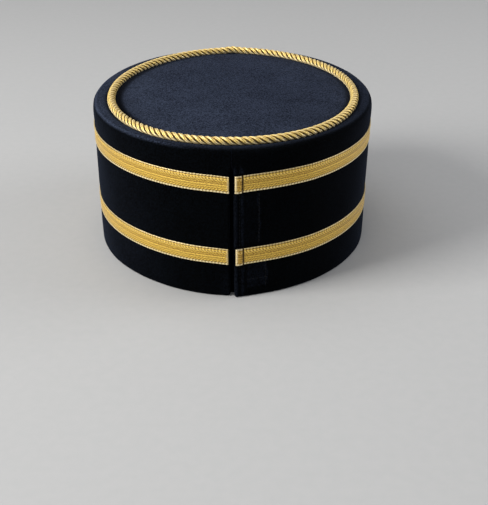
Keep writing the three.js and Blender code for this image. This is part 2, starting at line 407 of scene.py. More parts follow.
def cut_velvet(name, sheen, bloom):
    """Velvet: clouds and tufts are added to say how light a tuft is, which mixes the two colours of each
    pile. Over the lying pile the mesh's shares lay the upright pile (painted light on the wall), the painted
    shade beside the cord and the painted highlight. Tufts also tilt the surface, and sheen adds the bloom."""
    material = new_material(name)
    place = add_node(material, "TexCoord").outputs["Object"]
    in_mm = add_node(material, "VectorMath", {0: place, "Scale": 1 / MM}, operation="SCALE").outputs[0]
    clouds = add_node(material, "TexNoise", {"Vector": in_mm, "Scale": 1 / CLOUD_MM, "Detail": 3.0})
    tufts = add_node(material, "TexNoise", {"Vector": in_mm, "Scale": 1 / PILE_MM, "Detail": 2.0})
    cloud_ends = {"To Min": CLOUD_DARK, "To Max": CLOUD_LIGHT}
    tuft_ends = {"To Min": -TUFT_SWING, "To Max": TUFT_SWING}
    cloudy = add_node(material, "MapRange", {"Value": clouds.outputs[0], **NOISE_SPAN, **cloud_ends})
    tufted = add_node(material, "MapRange", {"Value": tufts.outputs[0], **NOISE_SPAN, **tuft_ends})
    terms = {0: cloudy.outputs[0], 1: tufted.outputs[0]}
    lightness = add_node(material, "Math", terms, operation="ADD", use_clamp=True).outputs[0]
    piles = []
    for dark, light in (SHADED_LYING_PILE, UPRIGHT_PILE, HIGHLIGHT_PILE):
        mix = {SHARE: lightness, FIRST: linear(dark), SECOND: linear(light)}
        piles.append(add_node(material, "Mix", mix, data_type="RGBA").outputs[MIXED])
    colour, upright_pile, highlight_colour = piles
    threads = add_node(material, "Attribute", attribute_name="threads").outputs["Color"]
    shares = add_node(material, "SeparateColor", {0: threads}).outputs
    # over the lying pile: painted light, the painted shade beside the cord, and a painted highlight
    layers = (("Red", upright_pile), ("Green", linear(SHADED_LYING_PILE[0])), ("Blue", highlight_colour))
    for part, pile in layers:
        mix = {SHARE: shares[part], FIRST: colour, SECOND: pile}
        colour = add_node(material, "Mix", mix, data_type="RGBA").outputs[MIXED]
    tilt = {"Height": tufts.outputs[0], "Distance": TUFT_DEPTH * MM, "Strength": 0.7}
    shader = add_node(
        material,
        "BsdfPrincipled",
        {
            "Base Color": colour,
            "Roughness": 0.95,
            "IOR": 1.45,
            "Specular IOR Level": 0.03,
            "Sheen Weight": sheen,
            "Sheen Roughness": 0.3,
            "Sheen Tint": linear(bloom),
            "Normal": add_node(material, "Bump", tilt).outputs[0],
        },
    )
    add_node(material, "OutputMaterial", {"Surface": shader.outputs[0]})
    return material


wall_velvet = cut_velvet("cut_velvet_wall", 0.13, "#8598c2")
top_velvet = cut_velvet("cut_velvet_top", 0.17, "#8b9bc2")
print("velvet:", wall_velvet.name, top_velvet.name)

# %% [markdown]
# # Plain woven backing
# Seen from inside, the ground cloth of the velvet is a plain cotton weave, dull and dark, in which
# threads pass over and under each other. Modelled threads would be wasted in the dark of the cap, so two
# sets of stripes draw them. The underlap is the same weave made near black, which paints in the shade behind
# the opening.

# %% Backing and underlap cloth
WEAVE_MM = 0.9  # thread spacing, drawn a little coarse so that it shows
WEAVE_DEPTH = 0.2


def plain_weave(name, dark, light, gloss):
    """A plain weave: two sets of stripes at right angles, and their product lifts and colours it. The
    gloss is how much it reflects and how strong its sheen is."""
    material = new_material(name)
    where = add_node(material, "TexCoord").outputs["UV"]
    stripe = {"Vector": where, "Scale": WAVE_LENGTH / WEAVE_MM, "Distortion": 0.4}
    ways = [add_node(material, "TexWave", stripe, bands_direction=way) for way in ("X", "Y")]
    product = {0: ways[0].outputs["Fac"], 1: ways[1].outputs["Fac"]}
    height = add_node(material, "Math", product, operation="MULTIPLY").outputs[0]
    mix = {SHARE: height, FIRST: linear(dark), SECOND: linear(light)}
    tilt = {"Height": height, "Distance": WEAVE_DEPTH * MM, "Strength": 0.8}
    shader = add_node(
        material,
        "BsdfPrincipled",
        {
            "Base Color": add_node(material, "Mix", mix, data_type="RGBA").outputs[MIXED],
            "Roughness": 0.85,
            "Specular IOR Level": gloss,
            "Sheen Weight": gloss,
            "Sheen Roughness": 0.6,
            "Normal": add_node(material, "Bump", tilt).outputs[0],
        },
    )
    add_node(material, "OutputMaterial", {"Surface": shader.outputs[0]})
    return material


backing = plain_weave("woven_cotton_backing", "#08090d", "#1b1e27", 0.05)
# near black with no gloss: the underlap's dark cloth, with the shade behind the opening painted in
underlap_cloth = plain_weave("woven_underlap_cloth", "#030304", "#060608", 0.0)
print("backing:", backing.name, underlap_cloth.name)

# %% [markdown]
# # Gilt thread
# Cord and braid are made of fine gilt wire wound on a yarn. It is a metal, so it keeps the default IOR
# and takes its colour from its reflection, but the yarn shows between thousands of fine windings that
# scatter the light into a satin glow. A plain gold metal would mirror the room, so the finish is only
# part metal, rough, with a little sheen. The mesh colours it. On the cord that is painted highlight on
# crests and tips and painted shade between the strands. On the braid it is its woven pattern, with
# painted highlights on its bent ends and painted shade in its stitch line.

# %% Gilt of the cord and of the braid
WIRE_MM = 0.45  # winding pitch, drawn coarser than the real wire so that it shows
WIRE_DEPTH = 0.05
GLINT_MM = 0.55  # patches of wire that happen to face the light
GLINT_STRETCH = (0.75, 1, 1)  # they are longer along the thread


def gilt_thread(name, golds, roughness, glint, bloom):
    """Gilt: the golds are deep, light, pale and dark. The mesh's first share, made uneven by noise for the
    glints, leads from deep to light, its second lays on pale thread and its third a dark gap. On the cord
    these are painted highlight on crests and tips and painted shade between the strands. On the braid they
    draw its pattern, with painted highlights on its bent ends and painted shade in its stitch line. A fine
    winding tilts the surface, and sheen adds a bloom."""
    material = new_material(name)
    deep, light, pale, gap = (linear(gold) for gold in golds)
    threads = add_node(material, "Attribute", attribute_name="threads").outputs["Color"]
    shares = add_node(material, "SeparateColor", {0: threads}).outputs
    where = add_node(material, "TexCoord").outputs["UV"]
    stripe = {"Vector": where, "Scale": WAVE_LENGTH / WIRE_MM, "Distortion": 1.5, "Detail": 2.0}
    winding = add_node(material, "TexWave", stripe, bands_direction="X")
    drawn_out = add_node(material, "VectorMath", {0: where, 1: GLINT_STRETCH}, operation="MULTIPLY")
    patches = {"Vector": drawn_out.outputs[0], "Scale": 1 / GLINT_MM, "Detail": 3.0}
    glints = add_node(material, "TexNoise", patches).outputs[0]
    glint_ends = {"To Min": -glint, "To Max": glint}
    speckle = add_node(material, "MapRange", {"Value": glints, **NOISE_SPAN, **glint_ends})
    terms = {0: speckle.outputs[0], 1: shares["Red"]}
    crest = add_node(material, "Math", terms, operation="ADD", use_clamp=True).outputs[0]
    colour = deep
    for share, gold in ((crest, light), (shares["Green"], pale), (shares["Blue"], gap)):
        mix = {SHARE: share, FIRST: colour, SECOND: gold}
        colour = add_node(material, "Mix", mix, data_type="RGBA").outputs[MIXED]
    tilt = {"Height": winding.outputs["Fac"], "Distance": WIRE_DEPTH * MM, "Strength": 0.5}
    shader = add_node(
        material,
        "BsdfPrincipled",
        {
            "Base Color": colour,
            "Metallic": 0.4,
            "Roughness": roughness,
            "Specular IOR Level": 0.75,
            "Specular Tint": linear("#fff4de"),
            "Sheen Weight": bloom,
            "Sheen Roughness": 0.35,
            "Sheen Tint": linear("#fff3da"),
            "Normal": add_node(material, "Bump", tilt).outputs[0],
        },
    )
    add_node(material, "OutputMaterial", {"Surface": shader.outputs[0]})
    return material


# deep, light, pale and dark gap: on the cord the light crests and pale tips are painted highlight, and the
# gap is painted shade
CORD_GOLDS = ("#8d6312", "#f3d57d", "#fceabd", "#1a0f02")
# on the braid pale and dark draw its pattern, and also its painted highlights on bent ends and painted shade
# in the stitch line
BRAID_GOLDS = ("#764a04", "#fcd55c", "#f6e7bc", "#2a1804")
cord_gilt = gilt_thread("gilt_wire_cord", CORD_GOLDS, roughness=0.42, glint=0.36, bloom=0.2)
braid_gilt = gilt_thread("gilt_wire_braid", BRAID_GOLDS, roughness=0.36, glint=0.42, bloom=0.42)
print("gilt:", cord_gilt.name, braid_gilt.name)

# %% [markdown]
# # Sewing thread
# The stitches are waxed polyester thread, a tight twist with a low gloss. Stitches are so small in the
# picture that slanting stripes are enough to draw the twist.

# %% Navy and brown thread
TWIST_MM = 0.3
TWIST_DEPTH = 0.05


def sewing_thread(name, dark, light):
    """Thread: slanting stripes along its length give the twist its light and dark."""
    material = new_material(name)
    where = add_node(material, "TexCoord").outputs["UV"]
    stripe = {"Vector": where, "Scale": WAVE_LENGTH / TWIST_MM}
    twist = add_node(material, "TexWave", stripe, bands_direction="DIAGONAL").outputs["Fac"]
    mix = {SHARE: twist, FIRST: linear(dark), SECOND: linear(light)}
    tilt = {"Height": twist, "Distance": TWIST_DEPTH * MM}
    shader = add_node(
        material,
        "BsdfPrincipled",
        {
            "Base Color": add_node(material, "Mix", mix, data_type="RGBA").outputs[MIXED],
            "Roughness": 0.75,
            "Specular IOR Level": 0.15,
            "Normal": add_node(material, "Bump", tilt).outputs[0],
        },
    )
    add_node(material, "OutputMaterial", {"Surface": shader.outputs[0]})
    return material


navy_thread = sewing_thread("navy_sewing_thread", "#020305", "#080a10")
brown_thread = sewing_thread("brown_sewing_thread", "#0b0702", "#1e1405")
print("thread:", navy_thread.name, brown_thread.name)

# %% [markdown]
# # The velvet wall
# On the real cap, velvet covers a stiff core, is turned in at the hem and at both flaps, and goes over
# the shoulder to the seam under the cord. A simulation would only blur so stiff a shape, so the wall
# is drawn as a sheet: an outer and an inner face that meet in a rounded fold at the hem, at the flaps
# and beside the cord. Above the opening the two ends close to a seam. Sewing pulls a little furrow
# into the right flap wherever the tape behind it is stitched down.

# %% Columns round the wall
OPENING_RIGHT, OPENING_LEFT = -0.4, 1.85  # the flaps' edges at the back
SEAM_RIGHT, SEAM_LEFT = 0.698, 0.702  # where the flaps meet above the opening, a hair apart
SLIT_TOP, SEAM_FROM = 79.5, 84.0
WALL = 2.6
FLAP_ZONE = 26.0  # how much of each flap has narrow columns
MIDDLE_COLUMNS = 250
ELSEWHERE = 1e3  # stands for the distance from a flap's edge on the rest of the wall
fold_steps = WALL / 2 * (1 - np.cos(np.linspace(0, np.pi / 2, 8)))  # a quarter turn over a rounded fold


def flap_steps(fine, fine_to, coarse):
    """Distances from a flap's edge: over the rounded fold, then fine steps, then wider ones."""
    near = np.arange(WALL / 2 + fine, fine_to, fine)
    return np.concatenate([fold_steps, near, np.arange(fine_to, FLAP_ZONE, coarse)])


right_steps = flap_steps(fine=0.3, fine_to=7.0, coarse=0.55)
left_steps = flap_steps(fine=0.5, fine_to=5.0, coarse=1.5)
first_angle = back_angle(OPENING_RIGHT - FLAP_ZONE)
last_angle = back_angle(OPENING_LEFT + FLAP_ZONE) + 2 * np.pi
middle_angles = np.linspace(first_angle, last_angle, MIDDLE_COLUMNS)
columns = len(right_steps) + MIDDLE_COLUMNS + len(left_steps)
from_right = np.full((columns, 1), ELSEWHERE)
from_right[: len(right_steps), 0] = right_steps
from_left = np.full((columns, 1), ELSEWHERE)
from_left[-len(left_steps) :, 0] = left_steps[::-1]


def flap_columns(z):
    """The angle of every column at each height. Near a flap the columns follow its edge, which moves to
    the seam above the opening."""
    close = smooth(SLIT_TOP, SEAM_FROM, z)
    follow_right = 1 - right_steps / FLAP_ZONE
    follow_left = 1 - left_steps / FLAP_ZONE
    right_x = OPENING_RIGHT - right_steps + close[:, None] * (SEAM_RIGHT - OPENING_RIGHT) * follow_right
    left_x = OPENING_LEFT + left_steps + close[:, None] * (SEAM_LEFT - OPENING_LEFT) * follow_left
    right = back_angle(right_x)
    left = back_angle(left_x) + 2 * np.pi
    middle = np.broadcast_to(middle_angles, (len(z), MIDDLE_COLUMNS))
    return np.concatenate([right, middle, left[:, ::-1]], axis=1).T


print(columns, "columns")

# %% Rows up the wall, over the shoulder and along the turned edge
SHOULDER_R = 2.4
FLANGE = 1.2  # thickness of the edge that is turned over the top
CHANNEL = 2.65  # from the cord's centre line to the turned edge on one side and the top on the other
FLANGE_CROWDING = 1.6  # above one, rows lie closer together towards the cord
upright = np.concatenate([fold_steps, np.linspace(WALL / 2, TOP_Z - SHOULDER_R, 84)[1:]])
shoulder = np.linspace(0, np.pi / 2, 11)[1:]
along_flange = 1 - (1 - np.linspace(0, 1, 11)[1:]) ** FLANGE_CROWDING
rows = len(upright) + len(shoulder) + len(along_flange)
print(rows, "rows")

# %% Furrows of the sewing on the right flap
FLAP_ROLL, FLAP_STITCH, FLAP_RIDGE = 1.5, 3.3, 5.0  # from the flap's edge
STITCH_PITCH = 2.4
GATHER_PITCH, GATHER_PHASE = 2.6 * STITCH_PITCH, 1.1
TAPE_LINE, TAPE_LOW, TAPE_HIGH = 14.4, 35.0, 66.0
PATCH_LINE, PATCH_LOW, PATCH_HIGH = 18.4, 6.0, 22.0
PATCH_ACROSS, ACROSS_FROM, ACROSS_TO = 11.4, 7.4, 18.0
ROLL_HIGH, FURROW_DEEP, RIDGE_HIGH, LINE_DEEP = 0.3, 0.55, 0.32, 0.3
ROLL_HALF, FURROW_HALF, RIDGE_HALF, LINE_HALF = 0.9, 0.42, 0.75, 0.5  # half widths of their bells
PULL, GATHER = 0.25, 0.2  # how much a furrow and the ridge swing along their length
STRAY, STRAY_LENGTH = 0.5, 6  # how far a sewn line strays, and over what length
SEWN_TO, SEWN_END = 80, 86  # the sewing fades out between these heights
BRAID_HALF = 5.4
EASE = ((0.10, 5, 17, 0), (0.07, 11, -11, 2), (0.05, 23, 7, 1))  # height, waves round, lean and phase


def clear_of_braid(z):
    """One on open velvet and nought under a braid band, so that nothing pokes through it."""
    under = [1 - smooth(BRAID_HALF - 1, BRAID_HALF + 1, np.abs(z - band)) for band in (UPPER_Z, LOWER_Z)]
    return 1 - np.maximum(*under)


def sewing_relief(d, z):
    """How far the right flap's velvet stands out: a crowned rolled edge, a furrow under its stitches, a
    ridge of gathered cloth beyond, and shallow furrows where the tape behind is sewn down. Stitches pull
    a furrow deeper at their ends, which is a cosine along it."""
    pull = swing(z, STITCH_PITCH, PULL)
    roll = ROLL_HIGH * bell(d, FLAP_ROLL, ROLL_HALF)
    furrow = FURROW_DEEP * bell(d, FLAP_STITCH, FURROW_HALF) * pull
    ridge = RIDGE_HIGH * bell(d, FLAP_RIDGE, RIDGE_HALF) * swing(z, GATHER_PITCH, GATHER, GATHER_PHASE)
    tape_at = TAPE_LINE + STRAY * np.sin(z / STRAY_LENGTH)
    tape = LINE_DEEP * bell(d, tape_at, LINE_HALF) * span(z, TAPE_LOW, TAPE_HIGH) * pull
    patch = LINE_DEEP * bell(d, PATCH_LINE, LINE_HALF) * span(z, PATCH_LOW, PATCH_HIGH) * pull
    tug = swing(d, STITCH_PITCH, PULL)
    patch_row = LINE_DEEP * bell(z, PATCH_ACROSS, LINE_HALF) * span(d, ACROSS_FROM, ACROSS_TO) * tug
    below_seam = 1 - smooth(SEWN_TO, SEWN_END, z)
    return (roll - furrow + ridge - tape - patch - patch_row) * below_seam * clear_of_braid(z)


def ease(angle, z):
    """The slight unevenness of hand-covered cloth: three long waves round and up the wall."""
    waves = sum(high * np.sin(around * angle + z / lean + phase) for high, around, lean, phase in EASE)
    return waves * clear_of_braid(z)


furrow_floor = sewing_relief(right_steps[:, None], upright).min()
print(f"the deepest furrow is {-furrow_floor:.2f} mm")

# %% The wall's two faces
FLAP_CORNER = 1.7  # radius of the flaps' lower corners
CORNER_FADE = 10  # height up to which the corner's lift fades out
EDGE_DIP = 0.25  # the cord's stitches draw the turned edge down
from_edge = np.minimum(from_right, from_left)
angles = flap_columns(upright)
z = np.broadcast_to(upright, angles.shape)
corner = FLAP_CORNER * (1 - rounded(from_edge, FLAP_CORNER))
lifted = z + corner * np.clip(1 - z / CORNER_FADE, 0, 1)
outer_wall = wall_point(angles, lifted, sewing_relief(from_right, lifted) + ease(angles, lifted))
inner_wall = wall_point(angles, lifted, -WALL)

top_angles = flap_columns(np.full(len(shoulder), TOP_Z))
turn = np.broadcast_to(shoulder, top_angles.shape)
outer_turn_z = TOP_Z - SHOULDER_R * (1 - np.sin(turn))
outer_turn_out = ease(top_angles, TOP_Z) * np.cos(turn) - SHOULDER_R * (1 - np.cos(turn))
inner_turn_z = TOP_Z - SHOULDER_R + (SHOULDER_R - FLANGE) * np.sin(turn)
inner_turn_out = -WALL - (SHOULDER_R - WALL) * (1 - np.cos(turn))
outer_turn = wall_point(top_angles, outer_turn_z, outer_turn_out)
inner_turn = wall_point(top_angles, inner_turn_z, inner_turn_out)
edge_angles = flap_columns(np.full(len(along_flange), TOP_Z))


def flange_face(height):
    """A straight run from the shoulder to the channel beside the cord, at a height."""
    start = wall_point(edge_angles, height, -SHOULDER_R)
    return start + (cord_point(edge_angles, height, CHANNEL) - start) * along_flange[:, None]


outer_flange = flange_face(TOP_Z - EDGE_DIP * smooth(0.45, 1.0, along_flange))
inner_flange = flange_face(TOP_Z - FLANGE)
outer_face = np.concatenate([outer_wall, outer_turn, outer_flange], axis=1)
inner_face = np.concatenate([inner_wall, inner_turn, inner_flange], axis=1)
print("wall grid", outer_face.shape)

# %% [markdown]
# # Painted light and shade on the wall's pile
# The wall's pile is painted lighter where light falls on it: as the shoulder turns up onto the turned
# edge, on the left side, more at the hem, and along the raised roll, ridge and sewn lines of the right
# flap. A painted highlight lies over the left shoulder and the left of the turned edge, painted shade
# darkens the back of the shoulder and the turned edge, and the cord's painted shadow lies beside it.
# Each point of the wall gets three shares for these, worked out from its place.

# %% Painted highlights on the right flap's sewing
# painted highlights where the raised cloth over the right flap's sewing catches the light
EDGE_LIT, RIDGE_LIT, LINE_LIT, TAPE_LIT, PATCH_LIT = 0.17, 0.36, 0.42, 0.05, 0.16
ROW_LIT = 0.7  # the row across the patch is painted less light than the other lines
EDGE_AT, TAPE_FROM = 1.2, 6.5  # from the flap's edge
EDGE_HALF, RIDGE_LIT_HALF, LINE_LIT_HALF = 1.1, 0.85, 0.55
BUNCHED = 0.25  # how much the ridge's painted highlight swings along it
LOW_END, LOW_END_TOP, LOW_END_MORE = 6, 22, 0.6  # the edge's painted highlight is stronger at its low end
FINE_STRAY, FINE_LENGTH = 0.3, 1.7  # the painted lines also stray in short waves


def flap_highlights(d, z):
    """Painted highlight on the right flap's pile, where the raised cloth catches the light: along the rolled
    edge, on the gathered ridge, and in thin lines over the sewing, which wander by two sines. Between the
    lines the tape and the patch are painted a little lighter."""
    wander = STRAY * np.sin(z / STRAY_LENGTH) + FINE_STRAY * np.sin(z / FINE_LENGTH)
    at_tape, at_patch = span(z, TAPE_LOW, TAPE_HIGH), span(z, PATCH_LOW, PATCH_HIGH)
    lines = bell(d, TAPE_LINE + wander, LINE_LIT_HALF) * at_tape
    lines = lines + bell(d, PATCH_LINE + wander, LINE_LIT_HALF) * at_patch
    lines = lines + ROW_LIT * bell(z, PATCH_ACROSS, LINE_HALF) * span(d, ACROSS_FROM, ACROSS_TO)
    low_end = 1 + LOW_END_MORE * (1 - smooth(LOW_END, LOW_END_TOP, z))
    bunched = swing(z, GATHER_PITCH, BUNCHED, GATHER_PHASE)
    share = EDGE_LIT * low_end * bell(d, EDGE_AT, EDGE_HALF)
    share = share + RIDGE_LIT * bunched * bell(d, FLAP_RIDGE, RIDGE_LIT_HALF) + LINE_LIT * lines
    share = share + TAPE_LIT * span(d, TAPE_FROM, TAPE_LINE) * at_tape
    share = share + PATCH_LIT * span(d, ACROSS_FROM, PATCH_LINE) * at_patch
    return share * (1 - smooth(SEWN_TO, SEWN_END, z)) * clear_of_braid(z)


# the largest painted highlight share on the right flap
print(f"the pile opens by up to {flap_highlights(right_steps[:, None], upright).max():.2f}")

# %% Shares of painted light, painted shadow and painted highlight on the wall
SWING_TURNS, SWING_BLEND = np.radians(95), np.radians(15)  # where the painted light swings from one side of the back to the other, and how softly
LIGHT_LEVEL, LIGHT_SWING, LIGHT_LEFT = 0.82, 0.34, 0.45  # painted light everywhere, its swing between the sides of the back, and more on the left
SIDE_LIT, SIDE_HEM, SIDE_FALL = 0.065, 1.8, 1.2  # painted light on the left side, more at the hem than at the top
LEFT_EDGE_LIGHTER, LEFT_EDGE_AT, LEFT_EDGE_HALF = 0.07, 2, 4
LEFT_EDGE_LOW, LEFT_EDGE_TOP = 6, 24  # the left flap's lighter edge fades out between these heights
HIGHLIGHT_AT, HIGHLIGHT_HALF = np.radians(60), np.radians(22)  # place and half width of the painted highlight round the shoulder
SHOULDER_FROM, SHOULDER_TO = np.radians(40), np.radians(92)  # where the shoulder, turning up, begins to be painted lighter
SHOULDER_SHADE, FLANGE_SHADE, FLANGE_SHADE_OUT = 0.8, 0.25, 0.55  # darker at the back
# painted highlight on the shoulder and on the left of the turned edge, and the cord's painted shadow
SHOULDER_HIGHLIGHT, FLANGE_LIT_LEFT, FLANGE_SHADOWED = 0.8, 0.45, 0.95


def painted_side_light(angle):
    """How much painted light the wall's pile gets. One side of the back is painted lighter than the other,
    by a soft change of sign times the root of the sine, and the left is painted lighter, by a step of the
    cosine."""
    lean = np.tanh((angle % (2 * np.pi) - SWING_TURNS) / SWING_BLEND) * np.sqrt(np.maximum(0, np.sin(angle)))
    return LIGHT_LEVEL - LIGHT_SWING * lean + LIGHT_LEFT * smooth(0.1, 0.9, np.cos(angle))


# painted light on the wall's left side
lit_left_side = smooth(0.35, 0.95, np.cos(angles)) * (SIDE_HEM - SIDE_FALL * z / TOP_Z)
# the pile is drawn lighter near the left flap's edge, low down
left_edge = bell(from_left, LEFT_EDGE_AT, LEFT_EDGE_HALF) * clear_of_braid(lifted)
left_edge = left_edge * (1 - smooth(LEFT_EDGE_LOW, LEFT_EDGE_TOP, lifted))
wall_lighter = flap_highlights(from_right, lifted) + LEFT_EDGE_LIGHTER * left_edge + SIDE_LIT * lit_left_side
to_left = np.cos(top_angles[:, :1])
to_viewer = np.maximum(0, np.sin(top_angles[:, :1])) ** 2  # painted shade at the back, which faces the viewer
# painted highlight over the left shoulder
highlight_over_shoulder = smooth(0.25, 0.8, to_left) * bell(shoulder, HIGHLIGHT_AT, HIGHLIGHT_HALF)
# the shoulder is painted lighter as it turns up, less at the back
shoulder_lit = smooth(SHOULDER_FROM, SHOULDER_TO, shoulder) * (1 - SHOULDER_SHADE * to_viewer)
shoulder_lit = np.maximum(shoulder_lit, highlight_over_shoulder)
# the turned edge is painted light, with painted shade at the back
flange_lit = 1 - to_viewer * (FLANGE_SHADE + FLANGE_SHADE_OUT * (1 - along_flange))
# the cord's painted shadow on the turned edge beside it
flange_cord_shadow = np.broadcast_to(FLANGE_SHADOWED * smooth(0.6, 0.92, along_flange), flange_lit.shape)
# painted light on the left of the turned edge
flange_left_light = FLANGE_LIT_LEFT * smooth(0.3, 0.9, to_left) * (1 - along_flange)

none_on_wall, none_on_shoulder = np.zeros_like(wall_lighter), np.zeros_like(shoulder_lit)
all_angles = np.concatenate([angles, top_angles, edge_angles], axis=1)
# the first share is the wall's painted light, and the third is its painted highlight
wall_painted_light = np.concatenate([wall_lighter, shoulder_lit, flange_lit], axis=1) * painted_side_light(all_angles)
wall_cord_shadow = np.concatenate([none_on_wall, none_on_shoulder, flange_cord_shadow], axis=1)
wall_highlight = np.concatenate([none_on_wall, SHOULDER_HIGHLIGHT * highlight_over_shoulder, flange_left_light], axis=1)
wall_tone = np.stack([wall_painted_light, wall_cord_shadow, wall_highlight], axis=-1)
print("wall shares up to", np.round(wall_tone.max((0, 1)), 2))

# %% Close the wall's borders and make it
EDGE_FOLD, SEAM_FOLD = WALL / 2, 0.3  # how broad the fold is at the opening and at the seam
FLANGE_REACH, FLANGE_ROUND = 5.0, 1.0  # breadth of the turned edge, and of the rounding at its end
TURN_IN = 9.0  # how far velvet is turned to the inside
PLAIN_ROW, PLAIN_COLUMN = 30, 100  # away from folds, where flat lengths are measured
heights = np.concatenate([upright, np.full(rows - len(upright), TOP_Z)])
fold = EDGE_FOLD + (SEAM_FOLD - EDGE_FOLD) * smooth(SLIT_TOP, SEAM_FROM, heights)
at_flaps = rounded(from_edge, fold)
at_hem = np.concatenate([rounded(upright, WALL / 2), np.ones(rows - len(upright))])
to_flange_end = (1 - along_flange) * FLANGE_REACH
at_cord = np.concatenate([np.ones(rows - len(along_flange)), rounded(to_flange_end, FLANGE_ROUND)])
around, up = run_length(outer_face[:, PLAIN_ROW]), run_length(outer_face[PLAIN_COLUMN])
wall_uv = np.stack(np.meshgrid(around, up, indexing="ij"), axis=-1)
turned_in = (from_edge < TURN_IN) | (heights < TURN_IN)
inner_finish = np.where(turned_in, 0, 1)[:-1, :-1]
wall_keep = at_flaps * at_hem * at_cord
velvet_wall = make_mesh(
    "velvet_wall",
    sheet_grids(outer_face, inner_face, wall_keep, wall_uv, (0, inner_finish), wall_tone),
    [wall_velvet, backing],
)
dress(velvet_wall, "wall_velvet", "side_wall")

# %% [markdown]
# # The velvet top
# The top is one oval of velvet stretched over a stiff board, with its edge lapped under the wall's
# turned edge. It is drawn as rings: a profile from the middle out to the cord, down its channel, out
# along the lap and back underneath, carried round the cord's plan. The cloth lies a touch higher in
# the middle and is drawn down beside the cord.

# %% Rings of the top
LAP_REACH, LAP_ROUND = 5.5, 0.3
LAP_TOP, TOP_BOTTOM = 91.4, 89.9
TOP_SPOKES, TOP_RINGS, UNDER_RINGS = 260, 46, 13
RING_CROWDING = 0.8  # below one, rings lie closer together towards the cord
CROWN, SUNK, SUNK_FROM = 0.25, 0.3, 0.945  # rise in the middle, drop beside the cord, and where it starts
CHANNEL_ROUND, CHANNEL_DEEP = 0.5, 0.9
STRETCH = ((0.12, 19, 31, 0), (0.08, 11, -14, 1))  # height, lengths along x and y, and phase
spokes = np.linspace(0, 2 * np.pi, TOP_SPOKES, endpoint=False)[:, None]
reach_share = np.linspace(0, 1, TOP_RINGS) ** RING_CROWDING
top_edge = cord_point(spokes, TOP_Z, -CHANNEL)
top_centre = np.array([CORD_SHIFT, PLAN_Y, 0])


def top_face(shares, z):
    """Rings at shares of the way from the middle to the channel, at a height."""
    flat = top_centre + (top_edge * [1, 1, 0] - top_centre) * np.asarray(shares)[:, None]
    flat[..., 2] = z
    return flat


def stretch(x, y):
    """Two long waves of cloth that was stretched by hand."""
    return sum(high * np.sin(x / along_x + y / along_y + phase) for high, along_x, along_y, phase in STRETCH)


top_plan = top_face(reach_share, 0)
slack = stretch(top_plan[..., 0], top_plan[..., 1]) * (1 - reach_share**6)
sunk = SUNK * smooth(SUNK_FROM, 1.0, reach_share)
upper_rings = top_face(reach_share, TOP_Z + CROWN * (1 - reach_share**2) - sunk + slack)
round_over = np.linspace(0, np.pi / 2, 6)[1:]
channel_out = -CHANNEL + CHANNEL_ROUND * np.sin(round_over)
channel_z = TOP_Z - SUNK - CHANNEL_DEEP * (1 - np.cos(round_over))
lap_end = LAP_REACH - LAP_ROUND
lap_out = [-1.6, 0.0, 2.0, 4.0, lap_end, LAP_REACH, LAP_REACH, lap_end, 2.0, -CHANNEL]
lap_z = [LAP_TOP] * 5 + [LAP_TOP - LAP_ROUND, TOP_BOTTOM + LAP_ROUND] + [TOP_BOTTOM] * 3
beside_z, beside_out = np.concatenate([channel_z, lap_z]), np.concatenate([channel_out, lap_out])
beside_cord = cord_point(spokes, beside_z, beside_out)
under_rings = top_face(np.linspace(1, 0, UNDER_RINGS + 1)[1:], TOP_BOTTOM)
top_points = np.concatenate([upper_rings, beside_cord, under_rings], axis=1)
print("top grid", top_points.shape)

# %% Painted light and shadow on the top's pile, and make it
SHADOW_LEFT, SHADOW_BLEND = 0.03, 0.045  # the cord's painted shadow is broader on the left, and how softly it starts
LIT_X, LIT_Y, TOP_LIT = 0.85, 0.6, 0.42  # painted light towards the left and the back, and how strongly
# the cord's painted shadow on the top beside it; the channel and the lap under the cord are fully shaded
top_cord_shadow = np.ones(top_points.shape[:2])
shadow_from = SUNK_FROM - SHADOW_LEFT * smooth(0.3, 0.95, np.cos(spokes))
top_cord_shadow[:, :TOP_RINGS] = smooth(shadow_from, shadow_from + SHADOW_BLEND, reach_share)
# the top's pile is painted lighter towards the left and the back
toward_light = LIT_X * top_points[..., 0] + LIT_Y * (top_points[..., 1] - PLAN_Y)
top_painted_light = TOP_LIT * smooth(-0.5, 1.0, toward_light / CORD_HALF_WIDTH) * (1 - top_cord_shadow)
top_tone = np.stack([np.ones_like(top_cord_shadow), top_cord_shadow, top_painted_light], axis=-1)
top_finish = np.where(np.arange(top_points.shape[1] - 1) < TOP_RINGS + len(channel_z), 0, 1)
velvet_top = make_mesh(
    "velvet_top",
    [grid(top_points, top_points[..., :2], round_u=True, finish=top_finish, tone=top_tone)],
    [top_velvet, backing],
)
dress(velvet_top, "top_velvet", "top_panel")

# %% [markdown]
# # The gold cord
# Four strands of gilt yarn are laid together like a rope and sewn down over the seam. A texture of
# slanting stripes would look painted on, so each strand is a real tube: its centre winds round the
# cord's line in a helix, and a round profile is carried along that helix. The two ends of the cord
# meet at the front, where the join stands a little proud.

# %% The cord's line
CORD_WIDE, CORD_HIGH = 5.3, 4.9
STRANDS, TURNS = 4, 32
STEPS_PER_TURN = 28
CORD_SIT = 2.0  # height of its widest line over the turned edge
CORD_Z = TOP_Z - FLANGE + CORD_SIT
cord_steps = STEPS_PER_TURN * TURNS
fine_angle = np.linspace(0, 2 * np.pi, 4001)
fine_run = run_length(cord_point(fine_angle, CORD_Z, 0.0))
cord_length = fine_run[-1]
along = np.arange(cord_steps) / cord_steps * cord_length
line_angle = np.interp(along, fine_run, fine_angle)
print(f"cord {cord_length:.1f} mm round, strands {cord_length / TURNS / STRANDS:.2f} mm apart")

# %% Painted highlight and shade on a strand
PROFILE = 26
PROFILE_EVEN, PROFILE_CROWDED = 0.62, 0.38  # points of the profile lie closer together on the outside
